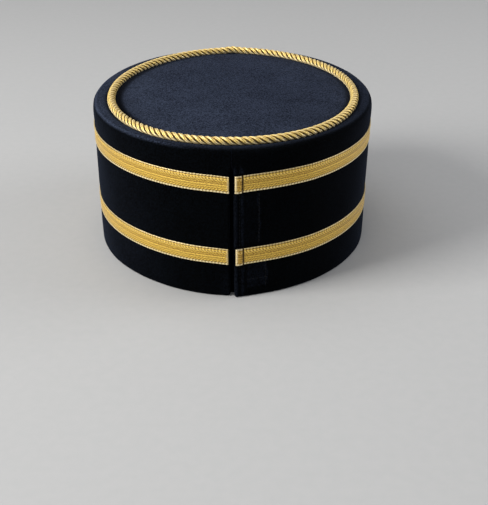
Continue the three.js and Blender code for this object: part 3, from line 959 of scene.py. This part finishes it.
# painted highlights at the top and the foot of a strand
TOP_HIGHLIGHT, FOOT_HIGHLIGHT = 0.6, 0.9
GAP_SHADE_ON_TOP, NOTCH_SHADE = 0.55, 0.2  # painted shade in the gaps and the ply notch; both grow darker low on the cord
# the ply notch dims the crest's painted light and its highlight
NOTCH_DIMS_CREST, NOTCH_DIMS_HIGHLIGHT = 0.7, 0.4
profile_share = np.linspace(-1, 1, PROFILE, endpoint=False)
profile = np.pi * (PROFILE_EVEN * profile_share + PROFILE_CROWDED * profile_share**3)


def painted_strand_light(height, notch):
    """Shares of lighter crest, pale painted highlight and dark painted shade on a strand, by its height from
    minus one to one and by the notch between its plies. All are soft steps of the profile's cosine, which is
    one on the outside, where the crest is painted light. The gap and the notch are painted shade, broader
    and darker low on the cord, and the top and the foot of a strand get a painted highlight."""
    outside = np.cos(profile)
    low = 1 - smooth(-0.2, 0.7, height)
    crest = smooth(0.2, 0.9, outside) * (1 - NOTCH_DIMS_CREST * notch)
    tips = TOP_HIGHLIGHT * smooth(0.7, 1.0, height) + FOOT_HIGHLIGHT * smooth(-0.4, 0.2, -height)
    pale = tips * smooth(0.6, 0.95, outside) * (1 - NOTCH_DIMS_HIGHLIGHT * notch)
    between = 1 - smooth(0.2 + 0.42 * low, 0.55 + 0.36 * low, outside)
    gap = between * (GAP_SHADE_ON_TOP + (1 - GAP_SHADE_ON_TOP) * low)
    return np.stack([crest, pale, np.maximum(gap, NOTCH_SHADE * (1 + low) * notch)], axis=-1)


print(PROFILE, "points round a strand")

# %% Four helical strands
STRAND_R = 1.1
PLY_NOTCH, PLY_WIDE = 0.24, 0.28  # depth as a share of the radius, and half width as an angle
PLY_SWAY, PLY_TWIST, PLY_PHASE = 0.35, 17.0, 1.7  # how far the notch wanders, over what length, from where
JOIN_LIFT, JOIN_LENGTH = 0.75, 5.0
HELIX_WIDE = CORD_WIDE / 2 - STRAND_R
HELIX_RISE, HELIX_DROP = CORD_HIGH - CORD_SIT - STRAND_R, CORD_SIT - STRAND_R
join_at = np.interp(1.5 * np.pi, fine_angle, fine_run)  # at the front


def strand(number):
    """One strand: its centre goes round the cord's line as the cord runs, one turn per pitch, rising
    further over the cord's widest line than it drops below, because the cord lies flat. Its profile is a
    circle across its own direction, whose first axis points away from the cord. One notch between its
    two plies sways along its outside by a sine."""
    lay = 2 * np.pi * (number / STRANDS - TURNS * along / cord_length)
    height = np.sin(lay)
    line_z = CORD_Z + JOIN_LIFT * bell(along, join_at, JOIN_LENGTH)
    helix_z = HELIX_RISE * np.maximum(height, 0) + HELIX_DROP * np.minimum(height, 0)
    centre_line = cord_point(line_angle, line_z + helix_z, HELIX_WIDE * np.cos(lay))
    ahead = np.roll(centre_line, -1, axis=0) - np.roll(centre_line, 1, axis=0)
    ahead /= np.linalg.norm(ahead, axis=1, keepdims=True)
    away = centre_line - cord_point(line_angle, line_z, 0.0)
    away -= ahead * np.sum(away * ahead, axis=1, keepdims=True)
    away /= np.linalg.norm(away, axis=1, keepdims=True)
    side = np.cross(ahead, away)
    length = run_length(centre_line)[-1]
    travelled = np.linspace(0, length, cord_steps)[:, None]
    sways = round(length / PLY_TWIST)
    sway = PLY_SWAY * np.sin(2 * np.pi * sways / length * travelled + PLY_PHASE * number)
    notch = bell(profile, sway, PLY_WIDE)
    radius = (STRAND_R * (1 - PLY_NOTCH * notch))[..., None]
    turn = profile[None, :, None]
    points = centre_line[:, None] + radius * (np.cos(turn) * away[:, None] + np.sin(turn) * side[:, None])
    flat = np.stack(np.broadcast_arrays(travelled, profile * STRAND_R), axis=-1)
    return grid(points, flat, round_u=True, round_v=True, tone=painted_strand_light(height[:, None], notch))


gold_cord = make_mesh("gold_cord", [strand(number) for number in range(STRANDS)], [cord_gilt])
dress(gold_cord, "gold_cord", "crown_cord")

# %% [markdown]
# # The gold braid
# Each band is a flat woven braid 10.8 mm wide. It has a pale flat edge on both sides, broken into dots, and
# a dark dotted groove inside each. Between them long threads run along the braid under slanting ribs that
# make a herringbone, with a row of small beads near the top and one raised line just below the middle.
# The weave is modelled, because the light plays on it: the grid's columns are slanted to run along the
# ribs, so that a few points draw each rib cleanly. The right end is folded under and sewn down as a
# small tab.

# %% Rows across the braid
BEAD_MM = 1.95  # beads and ribs share one spacing
FLOAT_MM = 1.45  # long threads along the middle, drawn coarser than the real ones so that they show
MIDLINE, BEAD_ROW = -0.5, 3.25  # from the middle of the braid
UPPER_GROOVE, LOWER_GROOVE = 4.5, -4.0
UPPER_EDGE, UPPER_EDGE_HALF = 5.02, 0.385
LOWER_EDGE, LOWER_EDGE_HALF = -4.75, 0.66
UPPER_FROM, UPPER_FULL = 4.8, 4.98  # where the upper groove gives way to the upper edge
LOWER_FROM, LOWER_FULL = 4.2, 4.4  # the same below the middle
MIDLINE_HALF, BEAD_HALF, UPPER_GROOVE_HALF, LOWER_GROOVE_HALF = 0.35, 0.36, 0.3, 0.35
PLAIN_HALF, RIBBED_FROM = 0.5, 2.6  # from the midline, ribs fade in between these
BODY_HALF = 3.7
edge_rows = np.array([BRAID_HALF, 5.39, 5.26, 5.02, 4.8, 4.64, 4.48, 4.28, 4.08, 3.86])
body_rows = np.linspace(-3.65, 3.65, 28)
across = np.concatenate([-edge_rows, body_rows, edge_rows[::-1]])
print(len(across), "rows across the braid")

# %% Relief and shades of the weave
UPPER_EDGE_HIGH, LOWER_EDGE_HIGH, BODY_HIGH, MIDLINE_HIGH = 0.5, 0.47, 0.45, 0.63
RIB_HIGH, FLOAT_HIGH, BEAD_HIGH, GROOVE_DEEP = 0.12, 0.04, 0.2, 0.25
BODY_CREST, FLOAT_CREST, RIB_CREST, BEAD_CREST, MIDLINE_CREST = 0.47, 0.17, 0.32, 0.4, 0.72
SHADE_CREST, SHADE_OFF, SHADE_HALF = 0.16, 1.2, 0.7  # the threads over the midline lie in its shade
UPPER_CREST, LOWER_CREST, LOWER_CREST_BEAD = 0.4, 0.7, 0.3
UPPER_PALE, UPPER_PALE_BEAD, LOWER_PALE, LOWER_PALE_BEAD, BEAD_PALE = 0.3, 0.35, 0.45, 0.55, 0.3
GROOVE_DARK, UPPER_DARK, LOWER_DARK = 0.95, 0.22, 0.42  # in the grooves, and between the edges' dots
GROOVE_BROKEN = 0.7  # how far beads break the upper groove; they break the lower one fully
LOWER_DENT = 0.15  # how far the lower edge sinks between its dots
EDGE_LEAST = 0.004  # keeps a little of an edge's height at its very end


def flat_round(t, middle, half):
    """A bar's section, flat with rounded sides: the root of one less the fourth power."""
    return np.sqrt(np.clip(1 - ((t - middle) / half) ** 4, EDGE_LEAST, 1))


def weave(column, t):
    """Height of the braid's face, and shares of crest, pale thread and dark gap. column counts along the
    braid and follows the ribs, and t is the distance from the middle. The edges are flat bars, beads and
    ribs are raised cosines along the column, long threads are cosines across it, and the midline, the
    bead row and the grooves are bells."""
    bead = swing(column, BEAD_MM, 0.5)
    rib = smooth(0.15, 0.85, bead)
    long_threads = np.cos(2 * np.pi * (t - MIDLINE) / FLOAT_MM)
    ribbed = smooth(PLAIN_HALF, RIBBED_FROM, np.abs(t - MIDLINE))
    upper_edge, lower_edge = smooth(UPPER_FROM, UPPER_FULL, t), smooth(LOWER_FROM, LOWER_FULL, -t)
    on_mid = bell(t, MIDLINE, MIDLINE_HALF)
    on_body = (1 - upper_edge - lower_edge) * (1 - on_mid)
    spot = smooth(0.2, 0.8, bead) * bell(t, BEAD_ROW, BEAD_HALF)
    groove = bell(t, UPPER_GROOVE, UPPER_GROOVE_HALF) * (1 - GROOVE_BROKEN * bead)
    groove = groove + bell(t, LOWER_GROOVE, LOWER_GROOVE_HALF) * (1 - bead)

    upper_high = UPPER_EDGE_HIGH * flat_round(t, UPPER_EDGE, UPPER_EDGE_HALF)
    lower_high = LOWER_EDGE_HIGH * flat_round(t, LOWER_EDGE, LOWER_EDGE_HALF)
    lower_high = lower_high * (1 - LOWER_DENT + LOWER_DENT * bead)
    body_high = BODY_HIGH + RIB_HIGH * rib * ribbed + FLOAT_HIGH * long_threads
    body_high = body_high + BEAD_HIGH * spot - GROOVE_DEEP * groove
    height = upper_edge * upper_high + lower_edge * lower_high + on_body * body_high + on_mid * MIDLINE_HIGH

    body_crest = BODY_CREST + FLOAT_CREST * long_threads + RIB_CREST * ribbed * (rib - 0.5)
    body_crest = body_crest + BEAD_CREST * spot - SHADE_CREST * bell(t, MIDLINE + SHADE_OFF, SHADE_HALF)
    crest = UPPER_CREST * upper_edge + (LOWER_CREST + LOWER_CREST_BEAD * bead) * lower_edge
    crest = crest + on_body * body_crest + MIDLINE_CREST * on_mid
    pale = upper_edge * (UPPER_PALE + UPPER_PALE_BEAD * bead)
    pale = pale + lower_edge * (LOWER_PALE + LOWER_PALE_BEAD * bead) + BEAD_PALE * spot
    between_dots = 1 - smooth(0.1, 0.6, bead)
    dark = GROOVE_DARK * groove + (UPPER_DARK * upper_edge + LOWER_DARK * lower_edge) * between_dots
    return height, crest, pale, dark


face_height = weave(np.linspace(0, BEAD_MM, 20)[:, None], across)[0]
print(f"the weave stands {face_height.max():.2f} mm high")

# %% Two braid bands
BRAIDS = (
    ("upper_braid", "upper_galon", UPPER_Z, -1.1, 2.1),
    ("lower_braid", "lower_galon", LOWER_Z, -1.35, 2.9),
)  # name, solid, height of its middle, and where it begins and ends beside the opening
BRAID_NARROW = 0.955  # a braid bent round a wall draws in a little
STEPS_PER_BEAD = 5
RIB_SLANT = 1.15  # how far a rib runs along the braid for each millimetre across it
FOLD_WIDTH, END_ROUND = 0.9, 0.7
FOLD_HIGHLIGHT, FOLD_AT, END_HIGHLIGHT, END_AT, BEND_HALF = 0.7, 0.5, 0.4, 0.4, 0.6  # painted highlights on the bent fold and the bent end
TAB_STITCH, TAB_FURROW, TAB_HIGH, TAB_DEEP = 4.55, 0.42, 0.85, 0.45
TAB_RAMP, DULL_RAMP = 1.1, 0.8  # how far before its stitches the tab falls off, and over what length its dulling fades
TAB_DULLER = 0.35  # how much duller the tab's crest is
STITCH_SHADE = 1.6  # painted shade in the stitch furrow; above one, it is dark across the whole floor
GAP, BORDER_HIGH = 0.12, 0.02  # the braid lies on the pile, and its borders are thin
BROAD_SAG, BROAD_HALF, NARROW_SAG, NARROW_HALF = 0.35, 40, 0.6, 9


def braid_sag(angle):
    """How far a band hangs below its level line at the back: a broad bell and a narrow one by x."""
    x, y = np.moveaxis(oval(angle, RIM_HALF_WIDTH, WALL_PLAN), -1, 0)
    return np.where(y > 0, BROAD_SAG * bell(x, 0, BROAD_HALF) + NARROW_SAG * bell(x, 0, NARROW_HALF), 0)


def braid_band(name, z, right, left):
    """A band: the weave's height is carried along the wall, raised over the tab, pressed down into its
    stitch line, and rounded off at both ends."""
    angle = np.linspace(back_angle(right), back_angle(left) + 2 * np.pi, 6001)
    length = run_length(wall_point(angle, z, 0.0))
    whole = length[-1]
    slant = RIB_SLANT * BODY_HALF
    steps = int(round((whole + slant) / BEAD_MM)) * STEPS_PER_BEAD
    column = np.linspace(0, whole + slant, steps + 1)[:, None]
    slope = -RIB_SLANT * np.minimum(np.abs(across - MIDLINE), BODY_HALF)
    s = np.clip(column + slope, 0, whole)  # columns that lean past an end lie on it and are merged
    height, crest, pale, dark = weave(column * np.ones_like(across), across * np.ones_like(column))
    ends = np.minimum(rounded(s, FOLD_WIDTH), rounded(whole - s, END_ROUND))
    furrow = bell(s, TAB_STITCH, TAB_FURROW)
    # painted highlights on the tab's fold and the braid's other end
    bend_highlights = FOLD_HIGHLIGHT * bell(s, FOLD_AT, BEND_HALF) + END_HIGHLIGHT * bell(whole - s, END_AT, BEND_HALF)
    tab = TAB_HIGH * (1 - smooth(TAB_STITCH - TAB_RAMP, TAB_STITCH, s)) - TAB_DEEP * furrow
    out = GAP + np.where(np.abs(across) >= BRAID_HALF, BORDER_HIGH, (height + tab) * ends)
    at = np.interp(s, length, angle)
    band_z = z + BRAID_NARROW * across - braid_sag(at)
    # painted shade in the tab's stitch furrow
    sewn = np.clip(STITCH_SHADE * furrow, 0, 1)
    pale = np.maximum(pale, bend_highlights) * (1 - sewn)
    crest = crest * (1 - TAB_DULLER * (1 - smooth(TAB_STITCH - DULL_RAMP, TAB_STITCH, s)))
    tone = np.stack([crest, pale, np.maximum(sewn, dark * (1 - bend_highlights))], axis=-1)
    uv = np.stack([s, band_z], axis=-1)
    return make_mesh(name, [grid(wall_point(at, band_z, out), uv, round_v=True, tone=tone)], [braid_gilt])


for name, solid, z_middle, right, left in BRAIDS:
    dress(braid_band(name, z_middle, right, left), "gold_braid", solid)

# %% [markdown]
# # The underlap
# A strip of dark cloth behind the opening keeps the light out when the flaps are closed. A cloth
# simulation would have nothing to do there, because the strip is held flat, so it is a plain sheet with
# rounded borders, lying against the inside of the wall.

# %% Underlap strip
UNDERLAP_REACH, UNDERLAP_LOW, UNDERLAP_HIGH = 16.0, 0.8, 84.0
UNDERLAP_OUT, UNDERLAP_THICK, UNDERLAP_ROUND = -2.9, 1.4, 0.7
strip_x = UNDERLAP_REACH * np.sin(np.linspace(-np.pi / 2, np.pi / 2, 49))[:, None]
strip_middle, strip_half = (UNDERLAP_LOW + UNDERLAP_HIGH) / 2, (UNDERLAP_HIGH - UNDERLAP_LOW) / 2
strip_z = strip_middle - strip_half * np.cos(np.linspace(0, np.pi, 70))


def behind_flaps(out):
    """A distance inside the wall's plan, following the flaps only where they are drawn in."""
    at, normal = wall_plan(back_angle(strip_x), strip_z)
    drawn_in = np.minimum(0, flap_offset(at[..., 0], at[..., 1], strip_z))
    return raised(at + normal * (out + drawn_in)[..., None], strip_z)


to_side = UNDERLAP_REACH - np.abs(strip_x)
to_end = np.minimum(strip_z - UNDERLAP_LOW, UNDERLAP_HIGH - strip_z)
strip_keep = rounded(to_side, UNDERLAP_ROUND) * rounded(to_end, UNDERLAP_ROUND)
strip_uv = np.stack(np.broadcast_arrays(strip_x, strip_z), axis=-1)
strip_outer, strip_inner = behind_flaps(UNDERLAP_OUT), behind_flaps(UNDERLAP_OUT - UNDERLAP_THICK)
strip_faces = sheet_grids(strip_outer, strip_inner, strip_keep, strip_uv, (0, 0))
underlap = make_mesh("underlap_strip", strip_faces, [underlap_cloth])
dress(underlap, "underlap_cloth", "back_underlap")

# %% [markdown]
# # Stitches
# Thread shows where the flap's edge is stitched, where the tape behind it is sewn down and across each
# tab. A bump in the velvet would not catch the light as thread does. A stitch is a short thread that
# comes up out of the cloth and dives again, so each is a small tube that is thickest in the middle and
# closes to a point at both ends.

# %% Stitch tubes
THREAD_R = 0.2
STITCH_MM = 2.3  # thread in a stitch, for the pattern of its twist
stitch_run = np.linspace(-0.5, 0.5, 9)
stitch_round = np.linspace(0, 2 * np.pi, 8, endpoint=False)


def stitches(start, end, away):
    """Tubes from start to end points: along each the centre arcs out by a cosine, and the radius closes
    at the ends as the side of an ellipse does."""
    middle, along_it = (start + end) / 2, end - start
    length = np.linalg.norm(along_it, axis=-1, keepdims=True)
    side = np.cross(along_it / length, away)
    t = stitch_run[None, :, None]
    radius = THREAD_R * np.sqrt(np.clip(1 - (2 * t) ** 2, 0, 1))
    centre_line = middle[:, None] + along_it[:, None] * t + away[:, None] * THREAD_R * np.cos(np.pi * t)
    spin = stitch_round[None, None, :, None]
    ring = np.cos(spin) * away[:, None, None] + np.sin(spin) * side[:, None, None]
    tubes = centre_line[:, :, None] + radius[:, :, None] * ring
    flat = np.stack(np.meshgrid(stitch_run * STITCH_MM, stitch_round * THREAD_R, indexing="ij"), axis=-1)
    return [grid(tube, flat, round_v=True) for tube in tubes]


def way_out(angle, z):
    """The wall's normal as a level direction in space."""
    normal = wall_frame(angle, z)[1]
    return np.concatenate([normal, np.zeros_like(normal[:, :1])], axis=1)


print(len(stitch_run) * len(stitch_round), "points in a stitch")

# %% Flap stitches
STITCH_REACH = 0.9 * STITCH_PITCH / 2  # half of what shows of an upright stitch
ACROSS_REACH = 1.1  # half of what shows of one that lies across the flap
FLAP_LOW = 2.0  # where the row along the flap's edge starts
OPEN_VELVET = 0.9  # share of clear velvet that a stitch needs


def flap_point(d, z):
    """Points on the right flap's outer face at distances from its edge."""
    return wall_point(back_angle(OPENING_RIGHT - d), z, sewing_relief(d, z))


def upright_row(distance, low, high):
    """Stitches one above another at a distance from the flap's edge, left out under the braid."""
    z = np.arange(low, high, STITCH_PITCH) + STITCH_PITCH / 2
    z = z[clear_of_braid(z) > OPEN_VELVET]
    d = np.full_like(z, distance)
    away = way_out(back_angle(OPENING_RIGHT - d), z - STITCH_REACH)
    return stitches(flap_point(d, z - STITCH_REACH), flap_point(d, z + STITCH_REACH), away)


across_d = np.arange(ACROSS_FROM, ACROSS_TO, STITCH_PITCH) + STITCH_PITCH / 2
across_z = np.full_like(across_d, PATCH_ACROSS)
near_end = flap_point(across_d - ACROSS_REACH, across_z)
far_end = flap_point(across_d + ACROSS_REACH, across_z)
across_away = way_out(back_angle(OPENING_RIGHT - (across_d - ACROSS_REACH)), across_z)
flap_rows = (
    upright_row(FLAP_STITCH, FLAP_LOW, SEWN_TO)
    + upright_row(TAPE_LINE, TAPE_LOW, TAPE_HIGH)
    + upright_row(PATCH_LINE, PATCH_LOW, PATCH_HIGH)
    + stitches(near_end, far_end, across_away)
)
flap_stitching = make_mesh("flap_stitching", flap_rows, [navy_thread])
dress(flap_stitching, "wall_velvet")

# %% Tab stitches
TAB_STITCHES = 4
TAB_MARGIN = 0.5  # from the braid's border to the first stitch
TAB_REACH = 0.46  # half a stitch, as a share of the pitch
TAB_OUT = 0.25  # the thread's ends over the wall, down in the furrow


def tab_row(z, right):
    """A column of stitches across a braid band, in the furrow beside its tab."""
    pitch = 2 * (BRAID_HALF - TAB_MARGIN) / TAB_STITCHES
    middle = z - BRAID_HALF + TAB_MARGIN + pitch * (np.arange(TAB_STITCHES) + 0.5)
    angle = np.full(TAB_STITCHES, back_angle(right - TAB_STITCH))
    low_end = wall_point(angle, middle - TAB_REACH * pitch, TAB_OUT)
    high_end = wall_point(angle, middle + TAB_REACH * pitch, TAB_OUT)
    return stitches(low_end, high_end, way_out(angle, middle))


tab_rows = [stitch for _, _, z_middle, right, _ in BRAIDS for stitch in tab_row(z_middle, right)]
tab_stitching = make_mesh("tab_stitching", tab_rows, [brown_thread])
dress(tab_stitching, "gold_braid")

# %% [markdown]
# # Floor and light
# The cap stands on a plain pale floor that rises gently far away, so that there is no hard horizon. A
# broad soft light stands on the left of the picture, weaker ones on the right and in front, and a softbox
# hangs overhead. Each has a grid that keeps its light from spreading sideways. The left light makes the
# braid glow on that side and lets the cord throw a soft shadow to the right.

# %% Floor
FLOOR_FLAT, FLOOR_EDGE, FLOOR_RISE = 1500.0, 3600.0, 2400.0
PAPER_MM = 6.0  # grain of the paper
PAPER_DARK, PAPER_LIGHT = "#abacad", "#b1b1b2"
ring_r = np.concatenate([np.linspace(0, FLOOR_FLAT, 8), np.linspace(FLOOR_FLAT, FLOOR_EDGE, 24)[1:]])
ring_angle = np.linspace(0, 2 * np.pi, 96, endpoint=False)[:, None]
rise = FLOOR_RISE * np.clip((ring_r - FLOOR_FLAT) / (FLOOR_EDGE - FLOOR_FLAT), 0, 1) ** 2
floor_x, floor_y = ring_r * np.cos(ring_angle), ring_r * np.sin(ring_angle)
floor_points = np.stack(np.broadcast_arrays(floor_x, floor_y, rise), axis=-1)

# Matt studio paper: pressed pulp with a faint grain and hardly any gloss
paper = new_material("matt_studio_paper")
place = add_node(paper, "TexCoord").outputs["Object"]
in_mm = add_node(paper, "VectorMath", {0: place, "Scale": 1 / MM}, operation="SCALE").outputs[0]
grain = add_node(paper, "TexNoise", {"Vector": in_mm, "Scale": 1 / PAPER_MM, "Detail": 3.0}).outputs[0]
paper_mix = {SHARE: grain, FIRST: linear(PAPER_DARK), SECOND: linear(PAPER_LIGHT)}
tint = add_node(paper, "Mix", paper_mix, data_type="RGBA").outputs[MIXED]
matt = add_node(paper, "BsdfPrincipled", {"Base Color": tint, "Roughness": 0.9, "Specular IOR Level": 0.1})
add_node(paper, "OutputMaterial", {"Surface": matt.outputs[0]})

floor_mesh = bpy.data.meshes.new("studio_floor")
floor_numbers = np.arange(floor_x.size).reshape(floor_x.shape)
floor_faces = cells(floor_numbers, True, False).reshape(-1, 4)[:, ::-1]
floor_mesh.from_pydata((floor_points.reshape(-1, 3) * MM).tolist(), [], floor_faces.tolist())
floor_mesh.materials.append(paper)
floor_mesh.shade_smooth()
floor = bpy.data.objects.new("studio_floor", floor_mesh)
bpy.context.scene.collection.objects.link(floor)
print("floor", len(floor_mesh.polygons), "faces, rising to", FLOOR_RISE, "mm")

# %% Lights
CAP_MIDDLE = Vector((0, 0, 0.06))
SOFTBOX_SPREAD = np.radians(130)
SOFTBOXES = (
    ("left_softbox", (1.55, 0.6, 1.0), 0.9, 23.5, "#fffdf8"),
    ("right_softbox", (-1.6, -0.2, 0.7), 1.2, 8.6, "#ffffff"),
    ("front_softbox", (0.3, 1.5, 0.4), 0.6, 2.2, "#ffffff"),
    ("overhead_softbox", (0.7, -0.3, 2.5), 2.6, 17.5, "#ffffff"),
)  # name, place and side in metres, power in watts and colour
AIR_COLOUR, AIR_STRENGTH = "#dcdde0", 0.28


def soft_light(name, place, size, power, colour):
    """A square area light at a place, turned to face the cap."""
    data = bpy.data.lights.new(name, "AREA")
    data.shape = "SQUARE"
    data.size = size
    data.spread = SOFTBOX_SPREAD
    data.energy = power
    data.color = linear(colour)[:3]
    light = bpy.data.objects.new(name, data)
    light.location = place
    light.rotation_euler = (CAP_MIDDLE - Vector(place)).to_track_quat("-Z", "Y").to_euler()
    light.visible_camera = False
    bpy.context.scene.collection.objects.link(light)


for softbox in SOFTBOXES:
    soft_light(*softbox)
world = bpy.data.worlds.new("studio_air")
world.use_nodes = True
world.node_tree.nodes["Background"].inputs["Color"].default_value = linear(AIR_COLOUR)
world.node_tree.nodes["Background"].inputs["Strength"].default_value = AIR_STRENGTH
bpy.context.scene.world = world
bpy.context.scene.view_settings.view_transform = "Standard"
